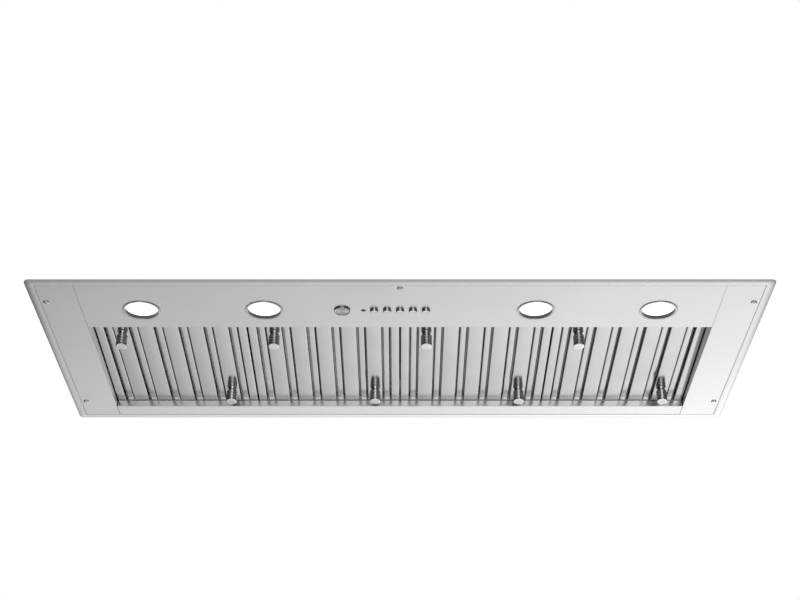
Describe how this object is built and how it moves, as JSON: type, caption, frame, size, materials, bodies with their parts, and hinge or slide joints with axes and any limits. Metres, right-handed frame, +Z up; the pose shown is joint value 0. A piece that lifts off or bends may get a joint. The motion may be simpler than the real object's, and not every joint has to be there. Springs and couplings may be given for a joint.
{
  "type": "built-in range hood",
  "caption": "Wide built-in stainless range hood insert seen from below: baffle filters with ringed knobs, round lights, push buttons, blower and a round duct collar.",
  "frame": {"origin": "middle of the four corner fixing screws, in the flange's upper face, which seats against the canopy or ceiling", "axes": "+X towards the user's right, +Y towards the rear, +Z up into the canopy; the buttons and lights are at the front, -Y"},
  "size_m": [1.16, 0.488, 0.2052],
  "materials": {
    "panel_steel": "fine brushed stainless steel",
    "baffle_steel": "bright polished stainless steel",
    "galvanised": "galvanised sheet steel",
    "bright_metal": "polished bright metal",
    "knob_metal": "turned and polished stainless steel",
    "light_body": "satin die-cast aluminium",
    "light_lens": "frosted glass, lit from behind",
    "pilot": "dark translucent red plastic",
    "badge": "grooved stainless steel",
    "motor_paint": "black stove enamel",
    "wheel_steel": "galvanised sheet steel",
    "black_plastic": "moulded black plastic",
    "board_green": "circuit board lacquer",
    "driver_case": "pale moulded case"
  },
  "bodies": {
    "housing": {"flange_frame": "panel_steel", "side_panel_left": "panel_steel", "side_panel_right": "panel_steel", "control_panel": "panel_steel", "rear_panel": "panel_steel", "fixing_screws": "bright_metal", "filter_shelf": "panel_steel", "wiring_cover": "galvanised", "shell_wrap": "galvanised", "shell_end_left": "galvanised", "shell_end_right": "galvanised", "discharge_box": "galvanised", "duct_collar": "galvanised", "damper_pin": "bright_metal", "scroll_left": "galvanised", "scroll_right": "galvanised", "motor": "motor_paint", "motor_clamps": "galvanised", "control_box": "galvanised", "control_board": "board_green", "run_capacitor": "black_plastic", "light_driver": "driver_case", "junction_box": "galvanised", "junction_cover": "galvanised", "cable_bushing": "black_plastic", "switch_carrier": "black_plastic", "switch_board": "board_green", "pilot_lens": "pilot", "badge": "badge", "light_1_body": "light_body", "light_1_lens": "light_lens", "light_2_body": "light_body", "light_2_lens": "light_lens", "light_3_body": "light_body", "light_3_lens": "light_lens", "light_4_body": "light_body", "light_4_lens": "light_lens"},
    "filter_1": {"filter_1_frame": "baffle_steel", "filter_1_baffles": "baffle_steel", "filter_1_knobs": "knob_metal"},
    "filter_2": {"filter_2_frame": "baffle_steel", "filter_2_baffles": "baffle_steel", "filter_2_knobs": "knob_metal"},
    "filter_3": {"filter_3_frame": "baffle_steel", "filter_3_baffles": "baffle_steel", "filter_3_knobs": "knob_metal"},
    "filter_4": {"filter_4_frame": "baffle_steel", "filter_4_baffles": "baffle_steel", "filter_4_knobs": "knob_metal"},
    "push_button_1": {"button_1": "bright_metal"},
    "push_button_2": {"button_2": "bright_metal"},
    "push_button_3": {"button_3": "bright_metal"},
    "push_button_4": {"button_4": "bright_metal"},
    "push_button_5": {"button_5": "bright_metal"},
    "blower_rotor": {"motor_shaft": "bright_metal", "wheel_left": "wheel_steel", "wheel_right": "wheel_steel"},
    "damper_left": {"damper_flap_left": "galvanised"},
    "damper_right": {"damper_flap_right": "galvanised"}
  },
  "joints": [
    {"name": "filter_1_drop", "type": "hinge", "parent": "housing", "child": "filter_1", "pos_m": [-0.3795, -0.064, 0.02469], "axis": [-1, 0, 0], "range_deg": [0, 75]},
    {"name": "filter_2_drop", "type": "hinge", "parent": "housing", "child": "filter_2", "pos_m": [-0.1265, -0.064, 0.02469], "axis": [-1, 0, 0], "range_deg": [0, 75]},
    {"name": "filter_3_drop", "type": "hinge", "parent": "housing", "child": "filter_3", "pos_m": [0.1265, -0.064, 0.02469], "axis": [-1, 0, 0], "range_deg": [0, 75]},
    {"name": "filter_4_drop", "type": "hinge", "parent": "housing", "child": "filter_4", "pos_m": [0.3795, -0.064, 0.02469], "axis": [-1, 0, 0], "range_deg": [0, 75]},
    {"name": "button_1_push", "type": "slide", "parent": "housing", "child": "push_button_1", "axis": [0, 0, 1], "range_m": [0, 0.0018], "stiffness_N_per_m": 800},
    {"name": "button_2_push", "type": "slide", "parent": "housing", "child": "push_button_2", "axis": [0, 0, 1], "range_m": [0, 0.0018], "stiffness_N_per_m": 800},
    {"name": "button_3_push", "type": "slide", "parent": "housing", "child": "push_button_3", "axis": [0, 0, 1], "range_m": [0, 0.0018], "stiffness_N_per_m": 800},
    {"name": "button_4_push", "type": "slide", "parent": "housing", "child": "push_button_4", "axis": [0, 0, 1], "range_m": [0, 0.0018], "stiffness_N_per_m": 800},
    {"name": "button_5_push", "type": "slide", "parent": "housing", "child": "push_button_5", "axis": [0, 0, 1], "range_m": [0, 0.0018], "stiffness_N_per_m": 800},
    {"name": "blower_spin", "type": "hinge", "parent": "housing", "child": "blower_rotor", "pos_m": [0, 0.0698, 0.095], "axis": [1, 0, 0], "continuous": true},
    {"name": "damper_left_open", "type": "hinge", "parent": "housing", "child": "damper_left", "pos_m": [0, 0.22, 0.1054], "axis": [0, 0, -1], "range_deg": [0, 80], "stiffness_Nm_per_rad": 0.02},
    {"name": "damper_right_open", "type": "hinge", "parent": "housing", "child": "damper_right", "pos_m": [0, 0.22, 0.1054], "axis": [0, 0, 1], "range_deg": [0, 80], "stiffness_Nm_per_rad": 0.02}
  ]
}
